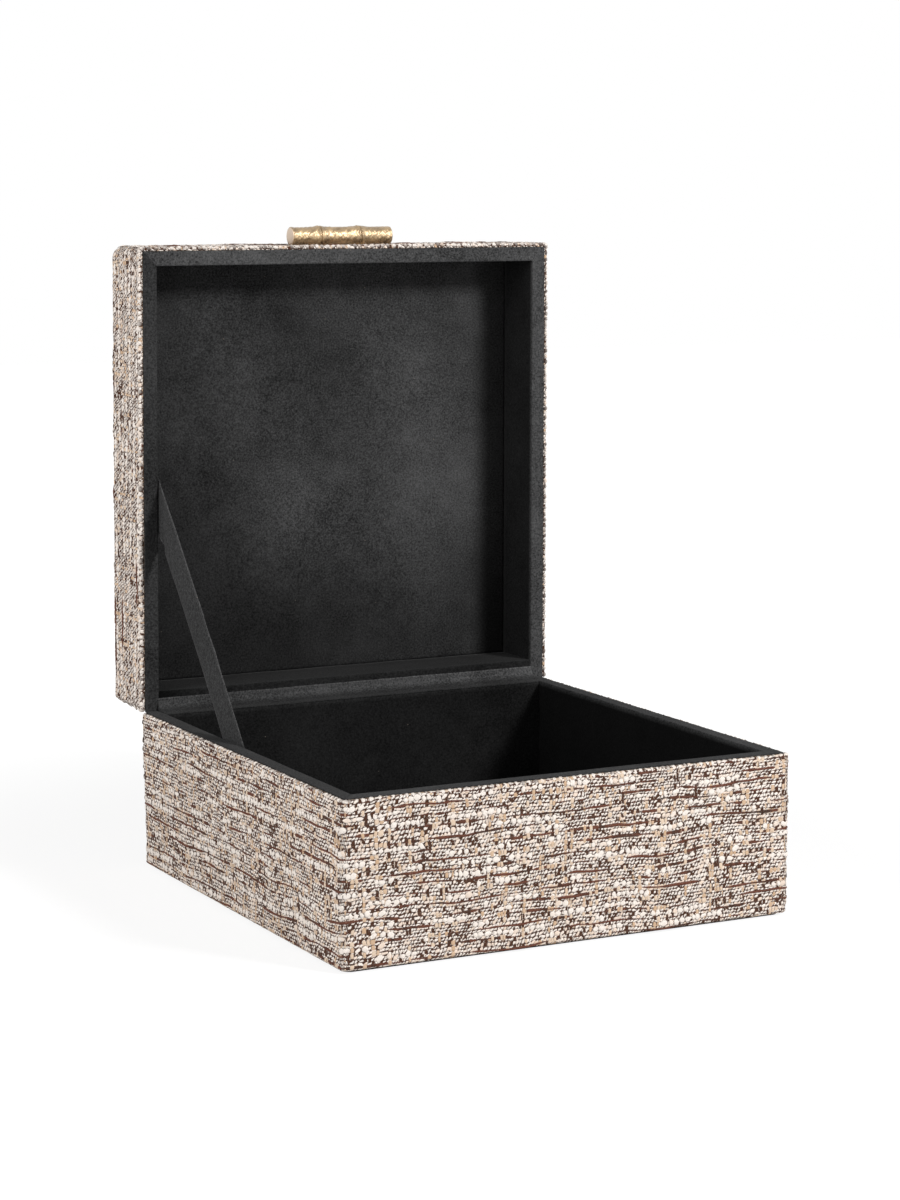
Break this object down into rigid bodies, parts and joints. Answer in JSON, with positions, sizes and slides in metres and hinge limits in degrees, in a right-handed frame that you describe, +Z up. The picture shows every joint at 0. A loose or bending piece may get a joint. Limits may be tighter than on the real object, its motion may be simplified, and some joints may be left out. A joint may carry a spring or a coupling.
{
  "type": "keepsake box",
  "caption": "Square keepsake box covered in nubbly tweed, lined in black suede, with a hinged lid held open by a ribbon and a bamboo shaped metal bar handle.",
  "frame": {"origin": "centre of the underside, on the surface that the box rests on", "axes": "+Z up, -Y to the front of the box, +X to the right as seen from the front; the lid stands open at a right angle at the back"},
  "size_m": [0.25, 0.2936, 0.3433],
  "materials": {
    "tweed": "chunky boucle tweed: cream and white yarns with tan, rust and dark brown slubs",
    "suede": "black faux suede with a short soft nap",
    "ribbon": "charcoal velvet ribbon",
    "felt": "thin black felt sheet",
    "card": "plain grey card",
    "fibreboard": "bare fibreboard",
    "hammered_brass": "hammered warm brass with a satin shine",
    "hinge_brass": "plain stamped brass",
    "steel": "zinc plated steel"
  },
  "bodies": {
    "base": {"base_front_board": "fibreboard", "base_back_board": "fibreboard", "base_left_board": "fibreboard", "base_right_board": "fibreboard", "floor_board": "fibreboard", "infill_card": "card", "foot_sheet": "felt", "base_tweed_cover": "tweed", "floor_pad": "suede", "base_lining_front": "suede", "base_lining_back": "suede", "base_lining_left": "suede", "base_lining_right": "suede", "left_hinge_base_leaf": "hinge_brass", "right_hinge_base_leaf": "hinge_brass", "hinge_pins": "hinge_brass", "base_hinge_screws": "hinge_brass", "hinge_strip": "suede", "ribbon_stay": "ribbon"},
    "lid": {"lid_front_board": "fibreboard", "lid_back_board": "fibreboard", "lid_left_board": "fibreboard", "lid_right_board": "fibreboard", "top_board": "fibreboard", "lid_tweed_cover": "tweed", "lid_pad": "suede", "lid_lining_front": "suede", "lid_lining_back": "suede", "lid_lining_left": "suede", "lid_lining_right": "suede", "left_hinge_lid_leaf": "hinge_brass", "right_hinge_lid_leaf": "hinge_brass", "lid_hinge_screws": "hinge_brass", "handle_bar": "hammered_brass", "handle_screws": "steel", "handle_washers": "steel"}
  },
  "joints": [
    {"name": "lid_hinge", "type": "hinge", "parent": "base", "child": "lid", "pos_m": [0, 0.1254, 0.0832], "axis": [1, 0, 0], "range_deg": [0, 90], "deforming": ["ribbon_stay", "hinge_strip"]}
  ]
}
